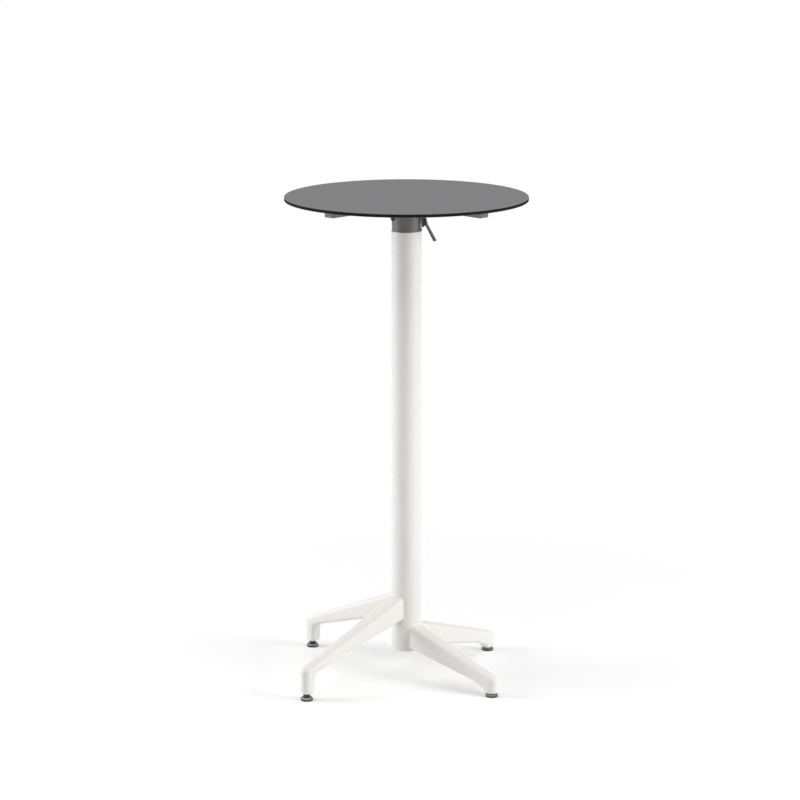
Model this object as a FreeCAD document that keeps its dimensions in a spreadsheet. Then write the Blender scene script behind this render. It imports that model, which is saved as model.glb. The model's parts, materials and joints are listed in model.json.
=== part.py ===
import FreeCAD, Part
import Sketcher
import math
import os
from types import SimpleNamespace

# Bar table with a tilting round top, a single column and two pairs of cast legs at two heights.
# Millimetres. The origin is on the floor under the column, +Z is up, the release lever is on +X
# and the hinge of the top is on -X.

# Driving dimensions: every size that can be set by itself has one cell in the sheet.
DIMENSIONS = {
    # round top
    "table_height": 1140,
    "top_diameter": 560,
    "top_thickness": 8,
    "top_upper_chamfer": 0.9,
    "top_lower_chamfer": 0.6,
    # column tube
    "column_diameter": 70,
    "column_wall": 2.5,
    "column_clearance": 66,
    "head_drop": 80,
    # head on the column
    "head_height": 38,
    "head_seat": 0.7,
    "head_flare": 1.3,
    "head_edge_chamfer": 2,
    "head_deck": 22,
    "plug_length": 45,
    "plug_wall": 4.5,
    "plug_gap": 0.05,
    # hinge of the top
    "hinge_inset": 4.5,
    "hinge_rise": 30.5,
    "hinge_pin_diameter": 6,
    "hinge_pin_length": 32,
    "ear_radius": 6,
    "ear_span": 35,
    "knuckle_radius": 6.5,
    "knuckle_width": 23.2,
    "knuckle_gap": 0.4,
    "bush_wall": 1.2,
    "bush_gap": 0.03,
    "bush_length": 8,
    "clip_width": 1,
    "clip_depth": 0.6,
    "clip_rim": 1.7,
    # latch
    "latch_slot_width": 16,
    "latch_slot_height": 21,
    "latch_slot_rise": 9,
    "latch_slot_depth": 7,
    "keeper_width": 16,
    "keeper_height": 5.5,
    "keeper_lip": 2.1,
    # bracket under the top
    "bracket_gap": 3,
    "boss_inset": 1.5,
    "boss_wall": 4,
    "boss_floor": 6,
    "arm_angle": 45,
    "arm_inset": 34,
    "arm_width": 27,
    "arm_height": 16.5,
    "arm_wall": 4,
    "arm_edge_radius": 2.5,
    "lug_spacing": 28,
    "lug_width": 4.5,
    "lug_radius": 5,
    "lug_inset": 0.9,
    "lug_plate_back": 0.5,
    "lug_drop": 34,
    "lug_corner_radius": 2,
    # screws of the top
    "screw_inner_circle": 110,
    "screw_outer_inset": 20,
    "screw_diameter": 5,
    "screw_head_diameter": 9.5,
    "screw_head_height": 2.8,
    "screw_boss_radius": 7,
    "screw_end_gap": 1,
    "insert_diameter": 8.5,
    "insert_length": 6.2,
    # release lever
    "lever_offset": 6,
    "lever_rise": 45,
    "lever_pin_diameter": 5,
    "lever_pin_gap": 0.05,
    "lever_eye_width": 18,
    "lever_blade_width": 22,
    "tongue_width": 13,
    "tongue_neck_gap": 1.3,
    "tongue_neck_drop": 17,
    "tongue_nose_gap": 1,
    "tongue_back": 3.5,
    "lever_knee_reach": 0.3,
    "lever_bend_reach": 3.1,
    "lever_bend_drop": 33,
    "lever_tip_drop": 69,
    "lever_tip_reach": 25,
    "lever_tip_under": 3.6,
    "lever_tip_over": 3.3,
    "lever_tip_slant": 1.8,
    "lever_knee_drop": 15,
    "lever_bend_rise": 1,
    "lever_neck_wall": 4.5,
    "lever_blade_wall": 6,
    "lever_edge_radius": 1.8,
    "spring_wire": 1,
    "spring_pitch": 1.2,
    "spring_turns": 2.5,
    "spring_radius": 4,
    # rubber buffers
    "buffer_radius": 6,
    "buffer_gap": 0.4,
    "stop_reach": 18,
    "stop_tab_end": 5,
    "stop_tab_width": 18,
    "stop_tab_height": 8,
    "seat_reach": 18,
    "seat_spread": 17,
    # core, rod and cap inside the column
    "core_height": 142,
    "core_wall": 6,
    "core_web": 8,
    "rod_diameter": 10,
    "rod_hole_gap": 0.5,
    "rod_end": 4,
    "rod_boss_drop": 5,
    "rod_thread_end": 5,
    "washer_radius": 11,
    "washer_height": 2.5,
    "nut_across_flats": 17,
    "nut_height": 8,
    "rod_boss_radius": 9,
    "cap_height": 5,
    "cap_edge_radius": 3.5,
    "cap_spigot_height": 6.5,
    "cap_spigot_wall": 3,
    # legs
    "leg_angle": 42,
    "leg_root_gap_angle": 4.1,
    "leg_foot_diameter": 30,
    "leg_top_fillet": 11,
    "leg_under_fillet": 9,
    "leg_heel_fillet": 5,
    "leg_core_width": 20,
    "leg_core_root": 32,
    "leg_core_tip": 9,
    "leg_core_skin": 8,
    "leg_rib_width": 5,
    "upper_foot_circle": 308,
    "upper_root_top": 193,
    "upper_root_under": 136.5,
    "upper_foot_top": 80.5,
    "upper_foot_under": 55,
    "upper_post_bottom": 17.5,
    "upper_post_slant": 2,
    "upper_post_heel": 0,
    "upper_post_fillet": 16,
    "upper_foot_lift": 6,
    "lower_foot_circle": 266,
    "lower_root_top": 121.5,
    "lower_root_under": 66,
    "lower_foot_top": 50,
    "lower_foot_under": 20,
    "lower_post_bottom": 10,
    "lower_post_slant": 30,
    "lower_post_heel": 5.5,
    "lower_post_fillet": 60,
    "lower_foot_lift": 0.6,
    "post_edge_chamfer": 1.2,
    "leg_bolt_diameter": 8,
    "leg_bolt_spacing": 26,
    "leg_bolt_grip": 23,
    "leg_bolt_head_diameter": 13,
    "leg_bolt_head_height": 8,
    "leg_bolt_hole_gap": 0.5,
    # levelling feet
    "sole_diameter": 28,
    "sole_height": 3.5,
    "pad_rim": 2,
    "pad_height": 5.5,
    "pad_crown_diameter": 18,
    "pad_swell": 0.9,
    "sole_bevel": 0.8,
    "stem_diameter": 10,
    "stem_length": 21,
    "stem_end_chamfer": 1,
    "stem_gap": 0.05,
    "neck_diameter": 16,
    "neck_height": 10.8,
    "neck_pocket_gap": 0.6,
    "bore_end_gap": 1,
    "spigot_diameter": 8,
    "turning_gap": 0.2,
}

doc = FreeCAD.newDocument("bar_table")
sheet = doc.addObject("Spreadsheet::Sheet", "dims")
for row, (alias, dimension) in enumerate(DIMENSIONS.items(), start=1):
    sheet.set(f"A{row}", alias)
    sheet.set(f"B{row}", str(dimension))
    sheet.setAlias(f"B{row}", alias)
doc.recompute()


class Size:
    """A length, angle or count: its expression on the sheet, and the number that it gives."""

    def __init__(self, text, number):
        self.text = text
        self.number = number

    def __add__(self, other):
        return Size(f"({self.text} + {text_of(other)})", self.number + number_of(other))

    def __radd__(self, other):
        return self + other

    def __sub__(self, other):
        return Size(f"({self.text} - {text_of(other)})", self.number - number_of(other))

    def __rsub__(self, other):
        return Size(f"({text_of(other)} - {self.text})", number_of(other) - self.number)

    def __mul__(self, other):
        return Size(f"({self.text} * {text_of(other)})", self.number * number_of(other))

    def __rmul__(self, other):
        return self * other

    def __truediv__(self, other):
        return Size(f"({self.text} / {text_of(other)})", self.number / number_of(other))

    def __neg__(self):
        return 0 - self


def text_of(size):
    return size.text if isinstance(size, Size) else repr(size)


def number_of(size):
    return size.number if isinstance(size, Size) else size


def cosine(angle):
    return Size(f"cos({angle.text} * 1 deg)", math.cos(math.radians(angle.number)))


def sine(angle):
    return Size(f"sin({angle.text} * 1 deg)", math.sin(math.radians(angle.number)))


dim = SimpleNamespace(**{alias: Size(f"dims.{alias}", float(sheet.get(alias))) for alias in DIMENSIONS})

# Levels and radii that several pieces share.
top_under = dim.table_height - dim.top_thickness
column_radius = dim.column_diameter / 2
column_bore = column_radius - dim.column_wall
column_top = dim.table_height - dim.head_drop
head_top = column_top + dim.head_height
head_deck_under = head_top - dim.head_deck
head_lower_radius = column_bore + dim.head_seat
head_upper_radius = head_lower_radius + dim.head_flare
hinge_reach = head_upper_radius - dim.hinge_inset
hinge_x = -hinge_reach
hinge_z = column_top + dim.hinge_rise
lever_x = head_upper_radius + dim.lever_offset
lever_z = column_top + dim.lever_rise
lug_inside = head_upper_radius - dim.lug_inset
lug_top = lever_z + dim.lug_radius
bracket_under = head_top + dim.bracket_gap
boss_radius = head_upper_radius - dim.boss_inset
arm_under = top_under - dim.arm_height
arm_reach = dim.top_diameter / 2 - dim.arm_inset
core_bore = column_bore - dim.core_wall
core_top = dim.column_clearance + dim.core_height
core_web_under = core_top - dim.core_web
leg_half_root = column_radius * sine(dim.leg_angle - dim.leg_root_gap_angle)
pad_top = dim.sole_height + dim.pad_height
neck_bottom = pad_top + dim.turning_gap
neck_top = neck_bottom + dim.neck_height

# How far a cutting shape runs past the piece that it cuts.
MARGIN = 5

# How far apart two positions may lie and still count as the same.
TOLERANCE = 0.01

NODES = []
ORIGIN = FreeCAD.Vector(0, 0, 0)
Z_AXIS = FreeCAD.Vector(0, 0, 1)
UPRIGHT = FreeCAD.Rotation()
ALONG = {
    "X": FreeCAD.Rotation(FreeCAD.Vector(0, 1, 0), 90),
    "Y": FreeCAD.Rotation(FreeCAD.Vector(1, 0, 0), -90),
    "Z": UPRIGHT,
}


def bind(thing, **sizes):
    for prop, size in sizes.items():
        thing.setExpression(prop, text_of(size))


def place(thing, x=0, y=0, z=0, rotation=UPRIGHT):
    thing.Placement = FreeCAD.Placement(ORIGIN, rotation)
    for axis, size in (("x", x), ("y", y), ("z", z)):
        thing.setExpression(f"Placement.Base.{axis}", text_of(size))


def turn(thing, angle):
    """Turns a piece about the column axis."""
    thing.Placement = FreeCAD.Placement(ORIGIN, FreeCAD.Rotation(Z_AXIS, number_of(angle)))
    thing.setExpression("Placement.Rotation.Angle", text_of(angle))


def node(thing, label):
    thing.Label = label
    NODES.append(thing)
    return thing


def cylinder(name, radius, height, x=0, y=0, z=0, along="Z"):
    rod = doc.addObject("Part::Cylinder", name)
    bind(rod, Radius=radius, Height=height)
    place(rod, x, y, z, ALONG[along])
    return rod


def box(name, length, width, height, x, y, z):
    block = doc.addObject("Part::Box", name)
    bind(block, Length=length, Width=width, Height=height)
    place(block, x, y, z)
    return block


def across(name, length, width, height, x, z):
    """A block that lies evenly on both sides of the plane Y = 0."""
    return box(name, length, width, height, x, width * -0.5, z)


def fuse(name, *pieces):
    union = doc.addObject("Part::MultiFuse", name)
    union.Shapes = list(pieces)
    union.Refine = True
    return union


def cut(name, base, *tools):
    for number, tool in enumerate(tools):
        difference = doc.addObject("Part::Cut", f"{name}_cut{number}")
        difference.Base = base
        difference.Tool = tool
        base = difference
    return base


def group(name, pieces):
    bunch = doc.addObject("Part::Compound", name)
    bunch.Links = list(pieces)
    return bunch


def new_body(name, several=False):
    body = doc.addObject("PartDesign::Body", name)
    body.AllowCompound = several
    return body


def origin_part(body, role):
    return next(part for part in body.Origin.OriginFeatures if part.Role == role)


def new_sketch(body, name, plane, lift=0):
    sketch = body.newObject("Sketcher::SketchObject", f"{body.Name}_{name}")
    sketch.AttachmentSupport = (origin_part(body, plane), [""])
    sketch.MapMode = "FlatFace"
    sketch.setExpression("AttachmentOffset.Base.z", text_of(lift))
    return sketch


def pin_point(sketch, geometry, end, label, point):
    """Ties one point of a sketch to the sketch's origin by its two sizes."""
    for kind, axis, size in (("DistanceX", "x", point[0]), ("DistanceY", "y", point[1])):
        rule = sketch.addConstraint(Sketcher.Constraint(kind, -1, 1, geometry, end, number_of(size)))
        sketch.renameConstraint(rule, f"{label}_{axis}")
        sketch.setExpression(f"Constraints.{label}_{axis}", text_of(size))


def vector(point):
    return FreeCAD.Vector(number_of(point[0]), number_of(point[1]), 0)


def draw_loop(sketch, points):
    """Adds a closed loop of straight lines to a sketch; each corner is a pair of sizes."""
    first = sketch.GeometryCount
    count = len(points)
    for index, point in enumerate(points):
        following = points[(index + 1) % count]
        sketch.addGeometry(Part.LineSegment(vector(point), vector(following)))
    for index in range(count):
        following = first + (index + 1) % count
        sketch.addConstraint(Sketcher.Constraint("Coincident", first + index, 2, following, 1))
    for index, point in enumerate(points, start=first):
        pin_point(sketch, index, 1, f"corner{index}", point)


def outline(body, name, plane, points, lift=0):
    """A sketch of one closed loop of straight lines."""
    sketch = new_sketch(body, name, plane, lift)
    draw_loop(sketch, points)
    return sketch


def circles(body, name, plane, centres, radius, lift=0):
    sketch = new_sketch(body, name, plane, lift)
    for index, centre in enumerate(centres):
        sketch.addGeometry(Part.Circle(vector(centre), Z_AXIS, number_of(radius)))
        pin_point(sketch, index, 3, f"centre{index}", centre)
        rule = sketch.addConstraint(Sketcher.Constraint("Radius", index, number_of(radius)))
        sketch.renameConstraint(rule, f"radius{index}")
        sketch.setExpression(f"Constraints.radius{index}", text_of(radius))
    return sketch


def feature(body, kind, sketch, name, **settings):
    step = body.newObject(f"PartDesign::{kind}", f"{body.Name}_{name}")
    step.Profile = sketch
    for prop, setting in settings.items():
        if isinstance(setting, Size):
            step.setExpression(prop, setting.text)
        else:
            setattr(step, prop, setting)
    doc.recompute()
    return step


def pad(body, sketch, name, length, both_ways=False):
    return feature(body, "Pad", sketch, name, Length=length, Midplane=both_ways)


def pocket(body, sketch, name, length, both_ways=False, forward=False):
    """Cuts along the sketch's normal when forward is set, against it otherwise, and checks that it cut."""
    volume = body.Shape.Volume
    step = feature(body, "Pocket", sketch, name, Length=length, Midplane=both_ways, Reversed=forward)
    if not body.Shape.Volume < volume:
        raise RuntimeError(f"{step.Name} cuts nothing")
    return step


def revolve(body, points):
    """Turns an outline of (radius, level) corners about the body's own Z axis."""
    sketch = outline(body, "profile", "XZ_Plane", points)
    return feature(body, "Revolution", sketch, "turned", ReferenceAxis=(origin_part(body, "Z_Axis"), [""]))


def edge_names(shape, wanted):
    return [f"Edge{index}" for index, edge in enumerate(shape.Edges, start=1) if wanted(edge)]


def along_edge(edge, test):
    """Whether the test holds at points spread over the whole edge."""
    return all(test(point) for point in edge.discretize(7))


def round_edges(body, name, radius, wanted, kind="Fillet"):
    base = body.Tip
    step = body.newObject(f"PartDesign::{kind}", f"{body.Name}_{name}")
    step.Base = (base, edge_names(base.Shape, wanted))
    bind(step, **{"Radius" if kind == "Fillet" else "Size": radius})
    body.Tip = step
    doc.recompute()
    return step


def near(first, second):
    return abs(number_of(first) - number_of(second)) < TOLERANCE


# The eight screw places: two on each arm of the bracket.
def screw_points():
    for quarter in range(4):
        angle = dim.arm_angle + 90 * quarter
        for circle in (dim.screw_inner_circle, arm_reach - dim.screw_outer_inset):
            yield circle * cosine(angle), circle * sine(angle)


def at_screws(name, radius, height, z):
    return group(name, [
        cylinder(f"{name}{index}", radius, height, x, y, z)
        for index, (x, y) in enumerate(screw_points())
    ])


def build_top():
    """Round laminate board with a small chamfer on both edges, drilled from below for the inserts."""
    radius = dim.top_diameter / 2
    body = new_body("board")
    revolve(body, [
        (0, top_under),
        (radius - dim.top_lower_chamfer, top_under),
        (radius, top_under + dim.top_lower_chamfer),
        (radius, dim.table_height - dim.top_upper_chamfer),
        (radius - dim.top_upper_chamfer, dim.table_height),
        (0, dim.table_height),
    ])
    holes = at_screws("insert_hole", dim.insert_diameter / 2, dim.insert_length, top_under)
    node(cut("top", body, holes), "table_top")


def build_top_fixings():
    """Threaded inserts in the board, and the screws that hold the bracket to them from below."""
    sleeves = at_screws("insert", dim.insert_diameter / 2, dim.insert_length, top_under)
    threads = at_screws("insert_thread", dim.screw_diameter / 2, dim.insert_length, top_under)
    node(cut("inserts", sleeves, threads), "top_inserts")

    shank_length = dim.arm_height - dim.screw_head_height + dim.insert_length - dim.screw_end_gap
    shank_bottom = arm_under + dim.screw_head_height
    shanks = at_screws("screw_shank", dim.screw_diameter / 2, shank_length, shank_bottom)
    heads = at_screws("screw_head", dim.screw_head_diameter / 2, dim.screw_head_height, arm_under)
    node(fuse("screws", shanks, heads), "top_screws")


def arm_bar(name, reach, width, height, z, quarter):
    """A straight bar through the column axis, as long on both sides, turned to a pair of arms."""
    angle = dim.arm_angle + 90 * quarter
    bar = doc.addObject("Part::Box", name)
    bind(bar, Length=reach * 2, Width=width, Height=height)
    turn(bar, angle)
    bind(bar, **{
        "Placement.Base.x": width / 2 * sine(angle) - reach * cosine(angle),
        "Placement.Base.y": -(reach * sine(angle)) - width / 2 * cosine(angle),
        "Placement.Base.z": z,
    })
    return bar


def rounded_arms():
    """The four crossed arms with soft lower edges and corners."""
    bars = [arm_bar(f"arm{quarter}", arm_reach, dim.arm_width, dim.arm_height, arm_under, quarter)
            for quarter in range(2)]
    cross = fuse("arms", *bars)
    doc.recompute()
    tip = arm_reach - dim.arm_edge_radius

    def soft(edge):
        low = along_edge(edge, lambda point: near(point.z, arm_under))
        at_tip = along_edge(edge, lambda point: math.hypot(point.x, point.y) > number_of(tip))
        upright = abs(edge.tangentAt(edge.FirstParameter).z) > 0.9
        return low or (at_tip and upright)

    rounded = doc.addObject("Part::Fillet", "arms_rounded")
    rounded.Base = cross
    radius = number_of(dim.arm_edge_radius)
    rounded.Edges = [(int(name[4:]), radius, radius) for name in edge_names(cross.Shape, soft)]
    return rounded


def build_cheeks():
    """Two cheeks that carry the lever's pin and hang down beside the head."""
    body = new_body("cheek_plates", several=True)
    plate_outside = lever_x + dim.lug_plate_back
    plate_bottom = lever_z - dim.lug_drop
    profile = outline(body, "profile", "XZ_Plane", [
        (lug_inside, plate_bottom),
        (plate_outside, plate_bottom),
        (plate_outside, lug_top),
        (lug_inside, lug_top),
    ])
    span = dim.lug_spacing + dim.lug_width * 2
    pad(body, profile, "plates", span, both_ways=True)
    eye = circles(body, "eye", "XZ_Plane", [(lever_x, lever_z)], dim.lug_radius)
    pad(body, eye, "eyes", span, both_ways=True)
    reach = lever_x + dim.lug_radius + MARGIN
    between = outline(body, "between", "XZ_Plane", [
        (0, plate_bottom - MARGIN),
        (reach, plate_bottom - MARGIN),
        (reach, lug_top + MARGIN),
        (0, lug_top + MARGIN),
    ])
    pocket(body, between, "gap", dim.lug_spacing, both_ways=True)
    round_edges(body, "corners", dim.lug_corner_radius, lambda edge: along_edge(
        edge, lambda point: near(point.z, plate_bottom)) and edge.Length < dim.lug_width.number + TOLERANCE)
    pin_bore = cylinder("lever_pin_bore", dim.lever_pin_diameter / 2, dim.column_diameter,
                        lever_x, -column_radius, lever_z, "Y")
    node(cut("cheeks", body, pin_bore), "lever_cheeks")


def build_bracket():
    """Cast bracket: channelled arms open towards the board, centre boss, hinge knuckle, cheek ledges."""
    boss = cylinder("boss", boss_radius, top_under - bracket_under, z=bracket_under)
    hollow = cylinder("boss_hollow", boss_radius - dim.boss_wall, dim.table_height,
                      z=bracket_under + dim.boss_floor)
    channels = [arm_bar(f"channel{quarter}", arm_reach - dim.arm_wall, dim.arm_width - dim.arm_wall * 2,
                        dim.arm_height, arm_under + dim.arm_wall, quarter) for quarter in range(2)]
    shell = cut("bracket_shell", fuse("bracket_mass", rounded_arms(), boss), hollow, *channels)
    pillars = at_screws("screw_pillar", dim.screw_boss_radius, dim.arm_height - dim.arm_wall,
                        arm_under + dim.arm_wall)

    knuckle_y = -dim.knuckle_width / 2
    knuckle = cylinder("knuckle", dim.knuckle_radius, dim.knuckle_width, hinge_x, knuckle_y, hinge_z, "Y")
    web = across("knuckle_web", dim.knuckle_radius * 2, dim.knuckle_width,
                 bracket_under + dim.boss_floor - hinge_z, hinge_x - dim.knuckle_radius, hinge_z)
    tab_length = dim.stop_reach + dim.buffer_radius + dim.stop_tab_end + dim.knuckle_radius
    stop_tab = across("stop_tab", tab_length, dim.stop_tab_width, dim.stop_tab_height,
                      hinge_x + dim.knuckle_radius - tab_length, bracket_under)
    ledge_root = boss_radius - dim.boss_wall * 2
    ledges = [
        box(f"ledge{index}", lug_inside - ledge_root, dim.lug_width, lug_top - bracket_under, ledge_root, y,
            bracket_under)
        for index, y in enumerate((-dim.lug_spacing / 2 - dim.lug_width, dim.lug_spacing / 2))
    ]
    casting = fuse("bracket_casting", shell, pillars, knuckle, web, stop_tab, *ledges)

    bush_bore = cylinder("bush_bore", dim.hinge_pin_diameter / 2 + dim.bush_gap + dim.bush_wall,
                         dim.column_diameter, hinge_x, -column_radius, hinge_z, "Y")
    screw_holes = at_screws("screw_way", dim.screw_diameter / 2, dim.arm_height, arm_under)
    head_seats = at_screws("screw_seat", dim.screw_head_diameter / 2, dim.screw_head_height, arm_under)
    node(cut("bracket", casting, bush_bore, screw_holes, head_seats), "tilt_bracket")


def build_hinge():
    """Hinge pin in the ears of the head, its retaining clips, and the bushes in the knuckle."""
    pin_radius = dim.hinge_pin_diameter / 2
    half = dim.hinge_pin_length / 2
    bare = cylinder("hinge_rod", pin_radius, dim.hinge_pin_length, hinge_x, -half, hinge_z, "Y")
    clip_places = [-half + dim.clip_width, half - dim.clip_width * 2]
    grooves = []
    clips = []
    for index, y in enumerate(clip_places):
        blank = cylinder(f"groove_blank{index}", pin_radius + dim.clip_rim, dim.clip_width, hinge_x, y,
                         hinge_z, "Y")
        root = cylinder(f"groove_root{index}", pin_radius - dim.clip_depth, dim.clip_width, hinge_x, y,
                        hinge_z, "Y")
        grooves.append(cut(f"groove{index}", blank, root))
        disc = cylinder(f"clip_disc{index}", pin_radius + dim.clip_rim, dim.clip_width, hinge_x, y,
                        hinge_z, "Y")
        eye = cylinder(f"clip_eye{index}", pin_radius - dim.clip_depth, dim.clip_width, hinge_x, y,
                       hinge_z, "Y")
        clips.append(cut(f"clip{index}", disc, eye))
    node(cut("hinge_pin", bare, *grooves), "tilt_pin")
    node(group("clips", clips), "pin_clips")

    bush_bore = pin_radius + dim.bush_gap
    bushes = []
    for index, y in enumerate((-dim.knuckle_width / 2, dim.knuckle_width / 2 - dim.bush_length)):
        sleeve = cylinder(f"bush_sleeve{index}", bush_bore + dim.bush_wall, dim.bush_length, hinge_x, y,
                          hinge_z, "Y")
        eye = cylinder(f"bush_eye{index}", bush_bore, dim.bush_length, hinge_x, y, hinge_z, "Y")
        bushes.append(cut(f"bush{index}", sleeve, eye))
    node(group("bushes", bushes), "tilt_bushes")


def build_head():
    """Cast head: a slightly conical collar on the tube's end, a plug inside it, ears and the latch slot."""
    collar_side = head_top - dim.head_edge_chamfer
    body = new_body("head_turned")
    plug_radius = column_bore - dim.plug_gap
    cavity_radius = plug_radius - dim.plug_wall
    plug_bottom = column_top - dim.plug_length
    boss_bottom = column_top - dim.rod_boss_drop
    revolve(body, [
        (0, head_top),
        (head_upper_radius - dim.head_edge_chamfer, head_top),
        (head_upper_radius, collar_side),
        (head_lower_radius, column_top),
        (plug_radius, column_top),
        (plug_radius, plug_bottom),
        (cavity_radius, plug_bottom),
        (cavity_radius, head_deck_under),
        (dim.rod_boss_radius, head_deck_under),
        (dim.rod_boss_radius, boss_bottom),
        (0, boss_bottom),
    ])
    ears = cylinder("ears", dim.ear_radius, dim.ear_span, hinge_x, -dim.ear_span / 2, hinge_z, "Y")
    keeper_root = plug_radius - dim.plug_wall / 2
    keeper = across("keeper", head_lower_radius + dim.keeper_lip - keeper_root, dim.keeper_width,
                    dim.keeper_height, keeper_root, column_top)
    mass = fuse("head_mass", body, ears, keeper)

    room = dim.knuckle_radius + dim.knuckle_gap
    knuckle_slot = across("knuckle_slot", room * 2, dim.knuckle_width + dim.knuckle_gap * 2, dim.head_height,
                          hinge_x - room, hinge_z - room)
    pin_way = cylinder("hinge_pin_way", dim.hinge_pin_diameter / 2, dim.column_diameter, hinge_x,
                       -column_radius, hinge_z, "Y")
    clip_y = dim.hinge_pin_length / 2 - dim.clip_width * 2
    clip_seat = dim.hinge_pin_diameter / 2 + dim.clip_rim + dim.plug_gap
    clip_rooms = [
        cylinder(f"clip_room{index}", clip_seat, column_radius, hinge_x, y, hinge_z, "Y")
        for index, y in enumerate((-clip_y - column_radius, clip_y))
    ]
    latch_slot = across("latch_slot", dim.latch_slot_depth + MARGIN, dim.latch_slot_width,
                        dim.latch_slot_height, head_lower_radius - dim.latch_slot_depth,
                        column_top + dim.latch_slot_rise)
    thread_length = head_deck_under + dim.rod_thread_end - boss_bottom
    rod_thread = cylinder("rod_thread", dim.rod_diameter / 2, thread_length, z=boss_bottom)
    node(cut("head", mass, knuckle_slot, pin_way, *clip_rooms, latch_slot, rod_thread), "column_head")


def build_buffers():
    """Rubber stops: one meets the head when the top is upright, two carry the bracket when it is level."""
    flank_taper = (head_upper_radius - head_lower_radius) / (dim.head_height - dim.head_edge_chamfer)
    flank_radius = head_lower_radius + flank_taper * (dim.hinge_rise - dim.stop_reach + dim.buffer_radius)
    stop_z = hinge_z + flank_radius - hinge_reach + dim.buffer_gap
    stop = cylinder("stop", dim.buffer_radius, bracket_under - stop_z, hinge_x - dim.stop_reach, 0, stop_z)
    node(stop, "stop_buffer")
    seats = [
        cylinder(f"seat{side + 1}", dim.buffer_radius, dim.bracket_gap - dim.buffer_gap, dim.seat_reach,
                 dim.seat_spread * side, head_top)
        for side in (-1, 1)
    ]
    node(group("seats", seats), "seat_buffers")


def build_lever():
    """Release lever: eye on the pin, latch tongue facing the head, and a blade bent outwards."""
    body = new_body("lever")
    eye_radius = dim.lug_radius
    bend_z = lever_z - dim.lever_bend_drop
    tip_z = lever_z - dim.lever_tip_drop
    tip_x = lever_x + dim.lever_tip_reach
    wall = dim.lever_blade_wall
    eye = circles(body, "eye", "XZ_Plane", [(lever_x, lever_z)], eye_radius)
    pad(body, eye, "eye_pad", dim.lever_eye_width, both_ways=True)
    tongue = outline(body, "tongue", "XZ_Plane", [
        (head_upper_radius + dim.tongue_neck_gap, lever_z),
        (head_upper_radius + dim.tongue_neck_gap, lever_z - dim.tongue_neck_drop),
        (head_lower_radius + dim.tongue_nose_gap, bend_z),
        (lever_x + dim.tongue_back, bend_z),
        (lever_x + dim.tongue_back, lever_z),
    ])
    pad(body, tongue, "tongue_pad", dim.tongue_width, both_ways=True)
    blade_top = lever_z - eye_radius - wall / 2
    knee_z = lever_z - dim.lever_knee_drop
    knee_x = lever_x + dim.lever_knee_reach
    bend_x = lever_x + dim.lever_bend_reach
    blade = outline(body, "blade", "XZ_Plane", [
        (knee_x, blade_top),
        (knee_x, knee_z),
        (bend_x, bend_z),
        (tip_x - dim.lever_tip_under, tip_z),
        (tip_x + dim.lever_tip_over, tip_z + dim.lever_tip_slant),
        (bend_x + wall, bend_z + dim.lever_bend_rise),
        (knee_x + dim.lever_neck_wall, knee_z),
        (knee_x + dim.lever_neck_wall, blade_top),
    ])
    pad(body, blade, "blade_pad", dim.lever_blade_width, both_ways=True)
    bore_radius = dim.lever_pin_diameter / 2 + dim.lever_pin_gap
    bore = circles(body, "bore", "XZ_Plane", [(lever_x, lever_z)], bore_radius)
    pocket(body, bore, "bore_cut", dim.column_diameter, both_ways=True)
    half = dim.lever_blade_width / 2

    def rim(edge):
        return along_edge(edge, lambda point: near(abs(point.y), half))

    round_edges(body, "soft", dim.lever_edge_radius, rim)
    node(body, "release_lever")


def build_lever_fixings():
    """Lever pin held in the two cheeks, and the torsion spring beside the lever's eye."""
    span = dim.lug_spacing + dim.lug_width * 2
    pin = cylinder("lever_rod", dim.lever_pin_diameter / 2, span, lever_x, -span / 2, lever_z, "Y")
    node(pin, "lever_pin")

    coil = doc.addObject("Part::Helix", "coil")
    bind(coil, Radius=dim.spring_radius, Pitch=dim.spring_pitch, Height=dim.spring_pitch * dim.spring_turns)
    wire = doc.addObject("Part::RegularPolygon", "wire")
    wire.Polygon = 4
    bind(wire, Circumradius=dim.spring_wire / 2)
    place(wire, x=dim.spring_radius, rotation=ALONG["Y"])
    spring = doc.addObject("Part::Sweep", "spring")
    spring.Sections = [wire]
    spring.Spine = (coil, ["Edge1"])
    spring.Solid = True
    spring.Frenet = True
    place(spring, lever_x, dim.lever_eye_width / 2 + dim.spring_wire, lever_z, ALONG["Y"])
    node(spring, "lever_spring")


# Hollow cells under each leg, between ribs.
LEG_CELLS = 3

# The four legs: turn about the column, and which pair of sizes they use.
LEGS = {
    "front_left": (dim.leg_angle + 180, "upper"),
    "rear_left": (180 - dim.leg_angle, "upper"),
    "front_right": (360 - dim.leg_angle, "lower"),
    "rear_right": (dim.leg_angle, "lower"),
}


def pair_sizes(pair):
    names = ("foot_circle", "root_top", "root_under", "foot_top", "foot_under", "post_bottom", "post_slant",
             "post_heel", "post_fillet", "foot_lift")
    return SimpleNamespace(**{name: getattr(dim, f"{pair}_{name}") for name in names})


def bolt_levels(pair):
    sizes = pair_sizes(pair)
    middle = (sizes.root_top + sizes.root_under) / 2
    return middle - dim.leg_bolt_spacing / 2, middle + dim.leg_bolt_spacing / 2


def at_leg_bolts(name, radius, start, length):
    """Two cylinders per leg, lying along the leg, from a given distance off the column axis."""
    legs = []
    for leg, (angle, pair) in LEGS.items():
        rods = [cylinder(f"{name}_{leg}{index}", radius, length, start, 0, z, "X")
                for index, z in enumerate(bolt_levels(pair))]
        both = group(f"{name}_{leg}", rods)
        turn(both, angle)
        legs.append(both)
    return group(name, legs)


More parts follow.
